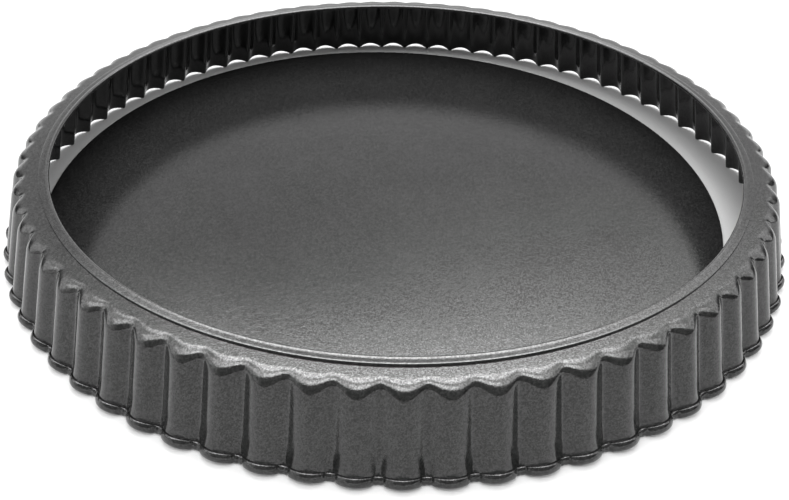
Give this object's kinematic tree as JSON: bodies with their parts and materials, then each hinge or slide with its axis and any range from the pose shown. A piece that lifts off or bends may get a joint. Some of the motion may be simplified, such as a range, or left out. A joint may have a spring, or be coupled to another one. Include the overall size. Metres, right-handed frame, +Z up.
{
  "type": "tart pan",
  "caption": "Round fluted tart pan with a loose flat base, standing upside down on its rolled rim, with the base lying inside the ring.",
  "frame": {"origin": "centre of the ring on the plane of its rim, which is the table plane as the pan stands upside down", "axes": "+Z up, from the rim to the flange; a flute crest lies on each of the X and Y axes"},
  "size_m": [0.2922, 0.2922, 0.0292],
  "materials": {
    "ring_coating": "satin dark grey non-stick coating on steel, with a fine sparkle",
    "base_coating": "satin dark grey non-stick coating on steel, with a fine sparkle"
  },
  "bodies": {
    "ring": {"fluted_ring": "ring_coating"},
    "base": {"loose_base": "base_coating"}
  },
  "joints": [
    {"name": "base_lift", "type": "slide", "parent": "ring", "child": "base", "axis": [0.1688, -0.1064, 0.9799], "range_m": [-0.03, 0.02725]}
  ]
}
